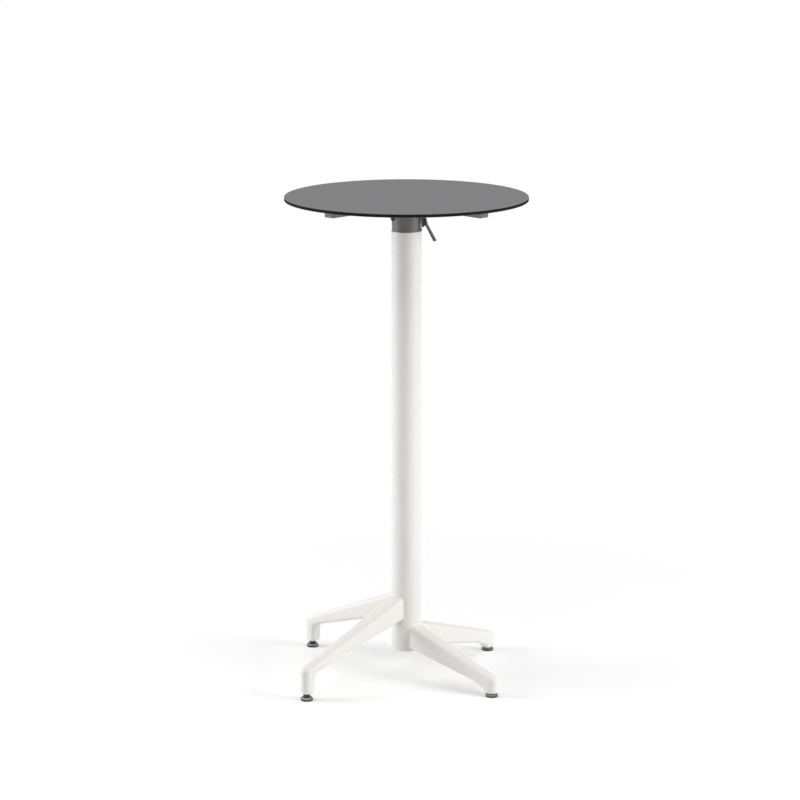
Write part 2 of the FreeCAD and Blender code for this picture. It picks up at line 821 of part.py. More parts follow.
def build_column():
    """Round tube, drilled near its lower end for the leg bolts."""
    length = column_top - dim.column_clearance
    outside = cylinder("tube_outside", column_radius, length, z=dim.column_clearance)
    inside = cylinder("tube_inside", column_bore, length, z=dim.column_clearance)
    holes = at_leg_bolts("tube_hole", dim.leg_bolt_diameter / 2 + dim.leg_bolt_hole_gap, core_bore,
                         column_radius - core_bore + MARGIN)
    node(cut("tube", outside, inside, holes), "column_tube")


def build_core():
    """Sleeve inside the foot of the tube, with a web for the tie rod and flat seats for the bolt heads."""
    body = new_body("core_turned")
    revolve(body, [
        (core_bore, dim.column_clearance),
        (column_bore, dim.column_clearance),
        (column_bore, core_top),
        (dim.rod_diameter / 2 + dim.rod_hole_gap, core_top),
        (dim.rod_diameter / 2 + dim.rod_hole_gap, core_web_under),
        (core_bore, core_web_under),
    ])
    holes = at_leg_bolts("core_hole", dim.leg_bolt_diameter / 2 + dim.leg_bolt_hole_gap,
                         core_bore - MARGIN, dim.core_wall + MARGIN * 2)
    seat_gap = dim.leg_bolt_hole_gap / 2
    seats = at_leg_bolts("core_seat", dim.leg_bolt_head_diameter / 2 + seat_gap,
                         core_bore - dim.leg_bolt_head_height, dim.leg_bolt_head_height)
    node(cut("core", body, holes, seats), "hub_core")

    shanks = at_leg_bolts("bolt_shank", dim.leg_bolt_diameter / 2, core_bore,
                          column_radius - core_bore + dim.leg_bolt_grip)
    heads = at_leg_bolts("bolt_head", dim.leg_bolt_head_diameter / 2,
                         core_bore - dim.leg_bolt_head_height, dim.leg_bolt_head_height)
    node(fuse("bolts", shanks, heads), "leg_bolts")


def build_tie_rod():
    """Rod that clamps the head down on the tube, with its washer and nut under the core's web."""
    washer_bottom = core_web_under - dim.washer_height
    nut_bottom = washer_bottom - dim.nut_height
    rod_bottom = nut_bottom - dim.rod_end
    rod = cylinder("rod", dim.rod_diameter / 2, head_deck_under - rod_bottom, z=rod_bottom)
    node(rod, "tie_rod")

    disc = cylinder("washer_disc", dim.washer_radius, dim.washer_height, z=washer_bottom)
    eye = cylinder("washer_eye", dim.rod_diameter / 2 + dim.rod_hole_gap, dim.washer_height, z=washer_bottom)
    node(cut("washer", disc, eye), "tie_rod_washer")

    hexagon = doc.addObject("Part::Prism", "nut_hexagon")
    hexagon.Polygon = 6
    bind(hexagon, Circumradius=dim.nut_across_flats / math.sqrt(3), Height=dim.nut_height)
    place(hexagon, z=nut_bottom)
    thread = cylinder("nut_thread", dim.rod_diameter / 2, dim.nut_height, z=nut_bottom)
    node(cut("nut", hexagon, thread), "tie_rod_nut")


def build_cap():
    """Moulded cap under the tube, with a rounded rim and a ring that plugs into the core."""
    bottom = dim.column_clearance - dim.cap_height
    spigot = core_bore - dim.plug_gap
    spigot_top = dim.column_clearance + dim.cap_spigot_height
    body = new_body("cap")
    revolve(body, [
        (0, bottom),
        (column_radius, bottom),
        (column_radius, dim.column_clearance),
        (spigot, dim.column_clearance),
        (spigot, spigot_top),
        (spigot - dim.cap_spigot_wall, spigot_top),
        (spigot - dim.cap_spigot_wall, dim.column_clearance),
        (0, dim.column_clearance),
    ])
    round_edges(body, "rim", dim.cap_edge_radius, lambda edge: along_edge(
        edge, lambda point: near(point.z, bottom) and near(math.hypot(point.x, point.y), column_radius)))
    node(body, "bottom_cap")


def leg_plan(body, start, half_root, foot_x, foot_radius, lift):
    """Plan of a leg: straight root, two sides and a round end that the sides run into smoothly."""
    sketch = new_sketch(body, "plan", "XY_Plane", lift)
    root_near = vector((start, -half_root))
    root_far = vector((start, half_root))
    end_near = vector((foot_x, -foot_radius))
    end_far = vector((foot_x, foot_radius))
    end_circle = Part.Circle(vector((foot_x, 0)), Z_AXIS, number_of(foot_radius))
    sketch.addGeometry([
        Part.LineSegment(root_near, end_near),
        Part.ArcOfCircle(end_circle, -math.pi / 2, math.pi / 2),
        Part.LineSegment(end_far, root_far),
        Part.LineSegment(root_far, root_near),
    ])
    pin_point(sketch, 0, 1, "root_near", (start, -half_root))
    pin_point(sketch, 2, 2, "root_far", (start, half_root))
    pin_point(sketch, 1, 3, "end_centre", (foot_x, 0))
    rule = sketch.addConstraint(Sketcher.Constraint("Radius", 1, number_of(foot_radius)))
    sketch.renameConstraint(rule, "end_radius")
    sketch.setExpression("Constraints.end_radius", text_of(foot_radius))
    sketch.addConstraint([
        Sketcher.Constraint("Coincident", 2, 2, 3, 1),
        Sketcher.Constraint("Coincident", 3, 2, 0, 1),
        Sketcher.Constraint("Tangent", 0, 2, 1, 1),
        Sketcher.Constraint("Tangent", 1, 2, 2, 1),
    ])
    return sketch


def build_leg(leg, angle, pair):
    """Cast leg in its own frame, pointing along X: tapered beam, upright post, seat on the tube, bores."""
    sizes = pair_sizes(pair)
    body = new_body(f"leg_{leg}_body")
    post_radius = dim.leg_foot_diameter / 2
    start = column_radius / 2
    run = sizes.foot_circle - column_radius
    end = sizes.foot_circle + post_radius + MARGIN
    post_inside = sizes.foot_circle - post_radius
    top_slope = (sizes.root_top - sizes.foot_top) / run
    under_slope = (sizes.root_under - sizes.foot_under) / run
    ceiling = sizes.root_top + column_radius

    def top_at(x):
        return sizes.root_top - top_slope * (x - column_radius)

    def under_at(x):
        return sizes.root_under - under_slope * (x - column_radius)

    plan = leg_plan(body, start, leg_half_root, sizes.foot_circle, post_radius, sizes.post_bottom)
    pad(body, plan, "beam", ceiling - sizes.post_bottom)
    above = outline(body, "above", "XZ_Plane", [
        (0, top_at(0)),
        (end, top_at(end)),
        (end, ceiling + MARGIN),
        (0, ceiling + MARGIN),
    ])
    pocket(body, above, "top_face", leg_half_root * 4, both_ways=True)
    crotch_x = post_inside - sizes.post_slant
    crotch_z = under_at(crotch_x)
    heel_z = sizes.post_bottom + sizes.post_heel
    below = outline(body, "below", "XZ_Plane", [
        (0, under_at(0)),
        (crotch_x, crotch_z),
        (post_inside, heel_z),
        (post_inside, sizes.post_bottom - MARGIN),
        (0, sizes.post_bottom - MARGIN),
    ])
    pocket(body, below, "under_face", leg_half_root * 4, both_ways=True)

    round_edges(body, "crotch", sizes.post_fillet, lambda edge: along_edge(
        edge, lambda point: near(point.x, crotch_x) and near(point.z, crotch_z)))
    if sizes.post_heel.number > 0:
        round_edges(body, "heel", dim.leg_heel_fillet, lambda edge: along_edge(
            edge, lambda point: near(point.x, post_inside) and near(point.z, heel_z)))

    blend = plan.Geometry[0].EndPoint
    half_slope = (leg_half_root.number + blend.y) / (blend.x - start.number)

    def on_side(point):
        half = leg_half_root.number - half_slope * (point.x - start.number)
        return near(abs(point.y), half) and point.x < blend.x + TOLERANCE

    def on_top(point):
        return near(point.z, top_at(point.x))

    def at_level(point):
        return near(point.z, sizes.post_bottom)

    def is_upright_at(x):
        return lambda point: near(point.x, x)

    def lower_chain(edge):
        flat_ends = (on_top, at_level, is_upright_at(start), is_upright_at(blend.x))
        return along_edge(edge, on_side) and not any(along_edge(edge, test) for test in flat_ends)

    def upper_chain(edge):
        return along_edge(edge, on_top) and not along_edge(edge, is_upright_at(start))

    round_edges(body, "under_soft", dim.leg_under_fillet, lower_chain)
    round_edges(body, "top_soft", dim.leg_top_fillet, upper_chain)
    round_edges(body, "post_rim", dim.post_edge_chamfer, lambda edge: along_edge(edge, at_level), "Chamfer")

    core_start = column_radius + dim.leg_core_root
    core_end = crotch_x - dim.leg_core_tip
    cell = (core_end - core_start - dim.leg_rib_width * (LEG_CELLS - 1)) / LEG_CELLS
    cores = new_sketch(body, "cores", "XZ_Plane")
    for number in range(LEG_CELLS):
        near_x = core_start + (cell + dim.leg_rib_width) * number
        far_x = near_x + cell
        draw_loop(cores, [
            (near_x, top_at(near_x) - dim.leg_core_skin),
            (far_x, top_at(far_x) - dim.leg_core_skin),
            (far_x, under_at(far_x) - MARGIN),
            (near_x, under_at(near_x) - MARGIN),
        ])
    pocket(body, cores, "core_cut", dim.leg_core_width, both_ways=True)

    seat = circles(body, "seat", "XY_Plane", [(0, 0)], column_radius)
    pocket(body, seat, "seat_cut", ceiling, forward=True)
    neck_room = circles(body, "neck_room", "XY_Plane", [(sizes.foot_circle, 0)],
                        dim.neck_diameter / 2 + dim.neck_pocket_gap, lift=sizes.post_bottom)
    lift_room = sizes.foot_lift + dim.bore_end_gap - sizes.post_bottom
    pocket(body, neck_room, "neck_cut", neck_top + lift_room, forward=True)
    thread = circles(body, "thread", "XY_Plane", [(sizes.foot_circle, 0)], dim.stem_diameter / 2,
                     lift=sizes.post_bottom)
    pocket(body, thread, "thread_cut", neck_top + dim.stem_length + lift_room, forward=True)
    bolt_places = [(0, z) for z in bolt_levels(pair)]
    bolts = circles(body, "bolts", "YZ_Plane", bolt_places, dim.leg_bolt_diameter / 2)
    pocket(body, bolts, "bolt_cut", column_radius + dim.leg_bolt_grip, forward=True)
    turn(body, angle)
    node(body, f"leg_{leg}")


def build_foot(leg, angle, pair):
    """Levelling foot: rubber sole, domed metal pad, and a threaded stem whose spigot turns in the pad."""
    circle = pair_sizes(pair).foot_circle
    x = circle * cosine(angle)
    y = circle * sine(angle)
    sole_radius = dim.sole_diameter / 2
    bevel = dim.sole_bevel
    spigot_radius = dim.spigot_diameter / 2
    rim_top = dim.sole_height + dim.pad_rim

    sole = new_body(f"sole_{leg}")
    revolve(sole, [
        (0, 0),
        (sole_radius - bevel, 0),
        (sole_radius, bevel),
        (sole_radius, dim.sole_height),
        (0, dim.sole_height),
    ])
    place(sole, x, y)
    node(sole, f"foot_sole_{leg}")

    disc = new_body(f"pad_{leg}")
    crown_radius = dim.pad_crown_diameter / 2
    bore_radius = spigot_radius + dim.stem_gap
    revolve(disc, [
        (bore_radius, dim.sole_height),
        (sole_radius, dim.sole_height),
        (sole_radius, rim_top),
        ((sole_radius + crown_radius) / 2, (rim_top + pad_top) / 2 + dim.pad_swell),
        (crown_radius, pad_top),
        (bore_radius, pad_top),
    ])
    place(disc, x, y)
    node(disc, f"foot_pad_{leg}")

    stem = new_body(f"stem_{leg}")
    thread_radius = dim.stem_diameter / 2 - dim.stem_gap
    stem_top = neck_top + dim.stem_length
    revolve(stem, [
        (0, dim.sole_height + dim.turning_gap),
        (spigot_radius, dim.sole_height + dim.turning_gap),
        (spigot_radius, neck_bottom),
        (dim.neck_diameter / 2, neck_bottom),
        (dim.neck_diameter / 2, neck_top),
        (thread_radius, neck_top),
        (thread_radius, stem_top - dim.stem_end_chamfer),
        (thread_radius - dim.stem_end_chamfer, stem_top),
        (0, stem_top),
    ])
    place(stem, x, y)
    node(stem, f"foot_stem_{leg}")


def check_document():
    for thing in doc.Objects:
        if "Invalid" in thing.State or "Error" in thing.State:
            raise RuntimeError(f"{thing.Name} failed: {thing.State}")
    for thing in NODES:
        if thing.Shape.isNull() or not thing.Shape.isValid() or not thing.Shape.Solids:
            raise RuntimeError(f"{thing.Label} has no valid solid")


build_top()
build_top_fixings()
build_bracket()
build_cheeks()
build_hinge()
build_head()
build_buffers()
build_lever()
build_lever_fixings()
build_column()
build_core()
build_tie_rod()
build_cap()
for leg_name, (leg_turn, leg_pair) in LEGS.items():
    build_leg(leg_name, leg_turn, leg_pair)
    build_foot(leg_name, leg_turn, leg_pair)
doc.recompute()
check_document()

os.makedirs("parts", exist_ok=True)
for piece in NODES:
    piece.Shape.exportStep(f"parts/{piece.Label}.step")
    print(piece.Label, len(piece.Shape.Solids), round(piece.Shape.Volume / 1000, 2), "cm3")
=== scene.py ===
import json
import math

import bmesh
import bpy
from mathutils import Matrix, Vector


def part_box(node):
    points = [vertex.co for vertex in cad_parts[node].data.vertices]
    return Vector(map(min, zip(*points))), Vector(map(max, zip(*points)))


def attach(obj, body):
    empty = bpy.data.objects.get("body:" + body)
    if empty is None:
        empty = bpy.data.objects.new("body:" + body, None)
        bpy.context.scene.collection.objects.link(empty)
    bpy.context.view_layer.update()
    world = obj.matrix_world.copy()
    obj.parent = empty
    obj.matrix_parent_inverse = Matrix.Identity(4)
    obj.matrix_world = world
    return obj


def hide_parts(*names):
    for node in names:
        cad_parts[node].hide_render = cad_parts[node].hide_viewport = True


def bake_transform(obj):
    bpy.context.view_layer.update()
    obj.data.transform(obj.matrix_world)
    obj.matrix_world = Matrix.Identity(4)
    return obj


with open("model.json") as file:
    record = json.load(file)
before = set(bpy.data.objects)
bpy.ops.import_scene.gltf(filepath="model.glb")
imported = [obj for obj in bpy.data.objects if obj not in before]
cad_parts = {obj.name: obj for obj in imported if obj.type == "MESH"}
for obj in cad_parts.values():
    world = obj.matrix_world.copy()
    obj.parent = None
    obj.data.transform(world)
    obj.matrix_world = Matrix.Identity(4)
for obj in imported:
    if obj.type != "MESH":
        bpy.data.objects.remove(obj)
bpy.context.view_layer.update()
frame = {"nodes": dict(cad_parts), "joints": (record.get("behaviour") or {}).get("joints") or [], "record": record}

MM = 0.001
FULL_TURN = 2.0 * math.pi

# Camera, fitted to the photograph's view. Its place and its reach are in metres.
CAMERA_PLACE = (0.0, -6.2837, 2.0478)
CAMERA_PITCH_DOWN = math.radians(12.4357)
CAMERA_YAW = math.radians(0.1348)
CAMERA_LENS_MM = 124.58
CAMERA_SENSOR_MM = 36.0
CAMERA_REACH = 200.0

# Floor and backdrop. Near the table the floor takes light and shadow, and past the fade it is plain white.
FLOOR_SIZE = 60.0
FLOOR_GREY = (0.94, 0.94, 0.94, 1.0)
FLOOR_ROUGHNESS = 0.9
FLOOR_GLOW = 0.13
FLOOR_FADE_START = 0.4
FLOOR_FADE_END = 1.5
WHITE = (1.0, 1.0, 1.0, 1.0)
BACKDROP_SEEN = 1.0
BACKDROP_LIGHT = 0.05

# Lamps: one at each side, so that the front of the column is dimmer, and a broad one overhead.
# A bearing counts from the camera's side of the table, to the right as the camera sees it, and a height is
# the angle above level, both in degrees. Distances and sizes are in metres.
LAMP_AIM = Vector((0.0, 0.0, 0.6))
SIDE_BOX = {"distance": 5.0, "width": 2.5, "tall": 3.2}
TOP_BOX = {"distance": 4.0, "width": 8.0, "tall": 8.0}
LAMPS = {
    "left_softbox": {"bearing": -93.0, "height": 13.0, "watts": 172.0, **SIDE_BOX},
    "right_softbox": {"bearing": 69.0, "height": 11.0, "watts": 165.0, **SIDE_BOX},
    "top_softbox": {"bearing": 0.0, "height": 85.0, "watts": 243.0, **TOP_BOX},
}

# Colours of the coat, of the board and of the board's core.
COAT_WHITE = (0.86, 0.838, 0.807)
TOP_GREY = (0.203, 0.203, 0.208)
CORE_BLACK = (0.012, 0.012, 0.012)

# Pieces that take the dark steel finish instead of their slot's, as painted shade: the lever's cheeks for the
# board's shade over them, and the pin's clips for the dark of the pin hole.
PAINTED_SHADE_PIECES = ("lever_cheeks", "pin_clips")

# Noise lies mostly between these two values.
NOISE_LOW = 0.3
NOISE_HIGH = 0.7

# How level the board's surface is, from 0 on its edge to 1 on its faces: the core shows below the first value
# and the decor above the second.
CORE_BELOW = 0.55
DECOR_ABOVE = 0.65

# Turned pieces: facets round them, and the angle from which an edge is sharp.
FACETS = 36
SHARP_ANGLE = math.radians(35.0)

# Foot stems: a spigot in the pad, a collar, and a thread that runs up into the leg.
FEET = ("front_left", "rear_left", "front_right", "rear_right")
SPIGOT_RADIUS = 4.0 * MM
SPIGOT_HEIGHT = 5.5 * MM
COLLAR_HEIGHT = 10.8 * MM
COLLAR_SOFT_EDGE = 0.5 * MM
STEM_TIP_HEIGHT = 1.0 * MM
STEM_TIP_TAPER = 0.7 * MM
THREAD_PITCH = 1.5 * MM
THREAD_CREST = 4.95 * MM
THREAD_ROOT = 4.1 * MM
THREAD_LEVELS_PER_PITCH = 6

# Shares of a pitch, counted from the middle of the crest: the crest is flat up to the first value, and the
# root is flat from the second.
THREAD_CREST_TO = 0.1875
THREAD_ROOT_FROM = 0.4375

# Socket screws that hold the bracket to the board, in two rings of four.
SCREW_RINGS = (110.0 * MM, 226.0 * MM)
SCREW_BEARINGS = (45.0, 135.0, 225.0, 315.0)
SCREW_HEAD_RADIUS = 4.6 * MM
SCREW_HEAD_HEIGHT = 2.8 * MM
SCREW_SHANK_RADIUS = 2.5 * MM
SCREW_SOFT_EDGE = 0.5 * MM
SOCKET_FLATS = 3.2 * MM
SOCKET_DEPTH = 1.9 * MM
SOCKET_MOUTH_FLATS = 3.6 * MM
SOCKET_MOUTH_DEPTH = 0.2 * MM

# Torsion spring round the lever's pin. Its places count from the lever's pivot: the two sides along the pin,
# and the legs' points across it, as X and Z.
LEVER_PIVOT = Vector(next(joint["pos_m"] for joint in frame["joints"] if joint["name"] == "lever_pull"))
SPRING_WIRE_RADIUS = 0.5 * MM
SPRING_WIRE_ROUNDING = 2
SPRING_COIL_RADIUS = 4.0 * MM
SPRING_TURNS = 3.25
SPRING_STEPS_PER_TURN = 24
SPRING_LEVER_SIDE = 9.65 * MM
SPRING_BOSS_SIDE = 13.35 * MM
SPRING_LEVER_LEG = ((5.7 * MM, -13.5 * MM), (5.4 * MM, -8.0 * MM))
SPRING_BOSS_LEG = (-9.3 * MM, 8.5 * MM)


# Material helpers

def shade(colour, factor):
    return tuple(channel * factor for channel in colour)


class Surface:
    """A material under construction: its principled shader, and short calls that add nodes."""

    def __init__(self, name, colour, roughness, metallic=0.0, specular=0.5):
        self.material = bpy.data.materials.new(name)
        self.material.use_nodes = True
        self.tree = self.material.node_tree
        self.shader = self.tree.nodes["Principled BSDF"]
        self.colour = colour
        self.roughness = roughness
        self.set("Base Color", (*colour, 1.0))
        self.set("Roughness", roughness)
        self.set("Metallic", metallic)
        self.set("Specular IOR Level", specular)
        self.coordinates = self.add("ShaderNodeTexCoord")

    def add(self, kind):
        return self.tree.nodes.new(kind)

    def link(self, source, target):
        self.tree.links.new(source, target)

    def set(self, socket, value):
        self.shader.inputs[socket].default_value = value

    def to(self, socket, source):
        self.link(source, self.shader.inputs[socket])

    def noise(self, per_metre, detail, squeezed=None):
        """Noise over the piece, with so many blobs per metre, or that many times a factor for each axis."""
        place = self.coordinates.outputs["Object"]
        if squeezed:
            mapping = self.add("ShaderNodeMapping")
            mapping.inputs["Scale"].default_value = squeezed
            self.link(place, mapping.inputs["Vector"])
            place = mapping.outputs["Vector"]
        texture = self.add("ShaderNodeTexNoise")
        texture.inputs["Scale"].default_value = per_metre
        texture.inputs["Detail"].default_value = detail
        self.link(place, texture.inputs["Vector"])
        return texture.outputs["Fac"]

    def levelness(self):
        """How level the surface lies on the piece: 0 on an upright edge, 1 on a flat face."""
        split = self.add("ShaderNodeSeparateXYZ")
        self.link(self.coordinates.outputs["Normal"], split.inputs["Vector"])
        size = self.add("ShaderNodeMath")
        size.operation = "ABSOLUTE"
        self.link(split.outputs["Z"], size.inputs[0])
        return size.outputs["Value"]

    def value_range(self, source, low, high, start=NOISE_LOW, end=NOISE_HIGH):
        """A value that goes from low to high as the source goes from start to end."""
        spread = self.add("ShaderNodeMapRange")
        spread.inputs["From Min"].default_value = start
        spread.inputs["From Max"].default_value = end
        spread.inputs["To Min"].default_value = low
        spread.inputs["To Max"].default_value = high
        self.link(source, spread.inputs["Value"])
        return spread.outputs["Result"]

    def tint(self, noise, colour, darkest, lightest):
        """A colour that varies with a noise between two multiples of itself."""
        ramp = self.add("ShaderNodeValToRGB")
        low, high = ramp.color_ramp.elements
        low.position = NOISE_LOW
        low.color = (*shade(colour, darkest), 1.0)
        high.position = NOISE_HIGH
        high.color = (*shade(colour, lightest), 1.0)
        self.link(noise, ramp.inputs["Fac"])
        return ramp.outputs["Color"]

    def mix(self, factor, first, second):
        """first where factor is 0, second where it is 1."""
        blend = self.add("ShaderNodeMix")
        blend.data_type = "RGBA"
        self.link(factor, blend.inputs["Factor"])
        self.link(first, blend.inputs["A"])
        self.link(second, blend.inputs["B"])
        return blend.outputs["Result"]

    def mottle(self, noise, darkest, lightest):
        """Lets the plain colour vary with a noise."""
        self.to("Base Color", self.tint(noise, self.colour, darkest, lightest))

    def vary_roughness(self, noise, smoother, rougher):
        """Lets the roughness vary with a noise, so far below and above its plain value."""
        self.to("Roughness", self.value_range(noise, self.roughness - smoother, self.roughness + rougher))

    def bump(self, noise, depth):
        """Relief from a noise; the depth is in metres."""
        relief = self.add("ShaderNodeBump")
        relief.inputs["Distance"].default_value = depth
        self.link(noise, relief.inputs["Height"])
        self.to("Normal", relief.outputs["Normal"])


# Materials

def powder_coat(name, colour):
    """Matt paint with the fine orange peel of a baked powder."""
    surface = Surface(name, colour, roughness=0.42, specular=0.25)
    cloud = surface.noise(per_metre=9.0, detail=2.0)
    surface.mottle(cloud, darkest=0.985, lightest=1.0)
    peel = surface.noise(per_metre=900.0, detail=2.0)
    surface.vary_roughness(peel, smoother=0.05, rougher=0.05)
    surface.bump(peel, depth=0.04 * MM)
    return surface.material


def laminate(name, colour, core):
    """Compact laminate: matt decor sheets on a black core that shows along the edge."""
    surface = Surface(name, colour, roughness=0.75, specular=0.04)
    grain = surface.noise(per_metre=700.0, detail=4.0)
    decor = surface.tint(grain, colour, darkest=0.95, lightest=1.05)
    fibres = surface.noise(per_metre=220.0, detail=3.0)
    black = surface.tint(fibres, core, darkest=0.7, lightest=1.3)
    is_face = surface.value_range(surface.levelness(), 0.0, 1.0, start=CORE_BELOW, end=DECOR_ABOVE)
    surface.to("Base Color", surface.mix(is_face, black, decor))
    surface.vary_roughness(grain, smoother=0.05, rougher=0.05)
    surface.bump(grain, depth=0.02 * MM)
    return surface.material


def cast_paint(name, colour, roughness=0.45, specular=0.5):
    """Painted die casting: a soft, slightly uneven skin."""
    surface = Surface(name, colour, roughness, specular=specular)
    cloud = surface.noise(per_metre=45.0, detail=4.0)
    surface.mottle(cloud, darkest=0.92, lightest=1.06)
    skin = surface.noise(per_metre=1400.0, detail=2.0)
    surface.vary_roughness(skin, smoother=0.06, rougher=0.06)
    surface.bump(skin, depth=0.03 * MM)
    return surface.material


def turned_metal(name, colour):
    """Turned and plated metal with faint rings and tarnish."""
    surface = Surface(name, colour, roughness=0.3, metallic=1.0)
    rings = surface.noise(per_metre=60.0, detail=3.0, squeezed=(1.0, 1.0, 90.0))
    surface.mottle(rings, darkest=0.88, lightest=1.05)
    surface.vary_roughness(rings, smoother=0.06, rougher=0.1)
    surface.bump(rings, depth=0.01 * MM)
    return surface.material


def rubber(name, colour):
    """Dull rubber, a little dusty."""
    surface = Surface(name, colour, roughness=0.75, specular=0.3)
    dust = surface.noise(per_metre=300.0, detail=5.0)
    surface.mottle(dust, darkest=1.0, lightest=1.8)
    surface.vary_roughness(dust, smoother=0.1, rougher=0.1)
    surface.bump(dust, depth=0.06 * MM)
    return surface.material


def plastic(name, colour, roughness=0.5):
    """Moulded plastic, or a smooth black finish on steel, with a fine sparkle."""
    surface = Surface(name, colour, roughness)
    cloud = surface.noise(per_metre=30.0, detail=2.0)
    surface.mottle(cloud, darkest=0.97, lightest=1.0)
    spark = surface.noise(per_metre=1500.0, detail=2.0)
    surface.vary_roughness(spark, smoother=0.05, rougher=0.05)
    surface.bump(spark, depth=0.03 * MM)
    return surface.material


MATERIALS = {
    "laminate_top": laminate("laminate_top", TOP_GREY, CORE_BLACK),
    "white_tube": powder_coat("white_tube", shade(COAT_WHITE, 0.95)),
    "white_casting": powder_coat("white_casting", shade(COAT_WHITE, 0.98)),
    "white_plastic": plastic("white_plastic", shade(COAT_WHITE, 0.97)),
    "bracket_grey": cast_paint("bracket_grey", (0.165, 0.162, 0.152), roughness=0.5, specular=0.35),
    "head_grey": cast_paint("head_grey", (0.127, 0.116, 0.102)),
    "lever_grey": cast_paint("lever_grey", (0.115, 0.11, 0.102)),
    "raw_iron": cast_paint("raw_iron", (0.12, 0.12, 0.12), roughness=0.7),
    "zinc_steel": turned_metal("zinc_steel", (0.55, 0.55, 0.56)),
    "bright_steel": turned_metal("bright_steel", (0.18, 0.18, 0.18)),
    "brass_insert": turned_metal("brass_insert", (0.55, 0.38, 0.13)),
    # Black steel finish. The lever's cheeks and the pin's clips also take it, as painted shade.
    "dark_steel": plastic("dark_steel", (0.03, 0.03, 0.032), roughness=0.4),
    "bush_plastic": plastic("bush_plastic", (0.7, 0.68, 0.62)),
    "black_rubber": rubber("black_rubber", (0.02, 0.02, 0.02)),
}


def dress_nodes():
    """Gives each carried-over piece the finish of its slot, except that the pieces standing in shade get the dark
    steel finish as painted shade.
    """
    for part in frame["record"]["subparts"]:
        node = part["node"]
        # The lever's cheeks and the pin's clips get the dark finish as painted shade.
        finish = "dark_steel" if node in PAINTED_SHADE_PIECES else part["material_slot"]
        materials = frame["nodes"][node].data.materials
        materials.clear()
        materials.append(MATERIALS[finish])


# Helpers for the fine pieces

def add_piece(name, mesh, slot, node):
    """Puts a smooth-shaded mesh in the scene, in place of a CAD node, in the finish of a record slot."""
    piece = bpy.data.objects.new(name, mesh)
    bpy.context.scene.collection.objects.link(piece)
    mesh.materials.append(MATERIALS[slot])
    mesh.polygons.foreach_set("use_smooth", [True] * len(mesh.polygons))
    mesh.set_sharp_from_angle(angle=SHARP_ANGLE)
    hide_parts(node)
    return piece


def turned(mesh, centre, sections):
    """Adds a closed turned form to a mesh. Each section is a level and a radius, or a radius by angle."""
    rings = []
    for level, radius in sections:
        ring = []
        for step in range(FACETS):
            angle = FULL_TURN * step / FACETS
            reach = radius(angle, level) if callable(radius) else radius
            point = (centre.x + reach * math.cos(angle), centre.y + reach * math.sin(angle), level)
            ring.append(mesh.verts.new(point))
        rings.append(ring)
    for lower, upper in zip(rings, rings[1:]):
        for step in range(FACETS):
            after = (step + 1) % FACETS
            mesh.faces.new((lower[step], lower[after], upper[after], upper[step]))
    mesh.faces.new(reversed(rings[0]))
    mesh.faces.new(rings[-1])


def finished(name, mesh):
    """Turns a mesh under construction into mesh data, with its faces outwards."""
    bmesh.ops.recalc_face_normals(mesh, faces=mesh.faces)
    data = bpy.data.meshes.new(name)
    mesh.to_mesh(data)
    mesh.free()
    return data


def hexagon(across_flats):
    """Radius by angle of a six-sided hole."""
    side = FULL_TURN / 6.0

    def radius(angle, level):
        return across_flats / 2.0 / math.cos(angle % side - side / 2.0)

    return radius


def thread_radius(angle, level):
    """Radius of the foot stems' right-hand thread, which rises and falls once in each pitch."""
    turn = (level / THREAD_PITCH - angle / FULL_TURN) % 1.0
    from_crest = abs(turn - 0.5)
    rise = (THREAD_ROOT_FROM - from_crest) / (THREAD_ROOT_FROM - THREAD_CREST_TO)
    return THREAD_ROOT + (THREAD_CREST - THREAD_ROOT) * min(1.0, max(0.0, rise))


def from_lever_pivot(x, y, z):
    return LEVER_PIVOT + Vector((x, y, z))


# Fine pieces

def build_stems():
    """Foot stems with a real thread, a chamfered tip and a softened collar."""
    for leg in FEET:
        node = f"foot_stem_{leg}"
        low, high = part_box(node)
        collar = (high.x - low.x) / 2.0
        collar_low = low.z + SPIGOT_HEIGHT
        collar_high = collar_low + COLLAR_HEIGHT
        sections = [
            (low.z, SPIGOT_RADIUS),
            (collar_low, SPIGOT_RADIUS),
            (collar_low, collar - COLLAR_SOFT_EDGE),
            (collar_low + COLLAR_SOFT_EDGE, collar),
            (collar_high - COLLAR_SOFT_EDGE, collar),
            (collar_high, collar - COLLAR_SOFT_EDGE),
            (collar_high, THREAD_ROOT),
        ]
        tip = high.z - STEM_TIP_HEIGHT
        rise = THREAD_PITCH / THREAD_LEVELS_PER_PITCH
        level = collar_high + rise
        while level < tip:
            sections.append((level, thread_radius))
            level += rise
        sections.append((tip, THREAD_ROOT))
        sections.append((high.z, THREAD_ROOT - STEM_TIP_TAPER))
        mesh = bmesh.new()
        turned(mesh, (low + high) / 2.0, sections)
        piece = add_piece(f"threaded_stem_{leg}", finished(node, mesh), "dark_steel", node)
        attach(piece, f"stem_{leg}")


def build_screws():
    """Screws with a hexagon socket, seen from below the bracket."""
    low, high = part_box("top_screws")
    seat = low.z + SCREW_HEAD_HEIGHT
    socket = hexagon(SOCKET_FLATS)
    sections = [
        (low.z + SOCKET_DEPTH, socket),
        (low.z + SOCKET_MOUTH_DEPTH, socket),
        (low.z, hexagon(SOCKET_MOUTH_FLATS)),
        (low.z, SCREW_HEAD_RADIUS - SCREW_SOFT_EDGE),
        (low.z + SCREW_SOFT_EDGE, SCREW_HEAD_RADIUS),
        (seat, SCREW_HEAD_RADIUS),
        (seat, SCREW_SHANK_RADIUS),
        (high.z, SCREW_SHANK_RADIUS),
    ]
    mesh = bmesh.new()
    for ring in SCREW_RINGS:
        for bearing in SCREW_BEARINGS:
            angle = math.radians(bearing)
            turned(mesh, Vector((ring * math.cos(angle), ring * math.sin(angle), 0.0)), sections)
    piece = add_piece("socket_screws", finished("top_screws", mesh), "zinc_steel", "top_screws")
    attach(piece, "tilt_top")


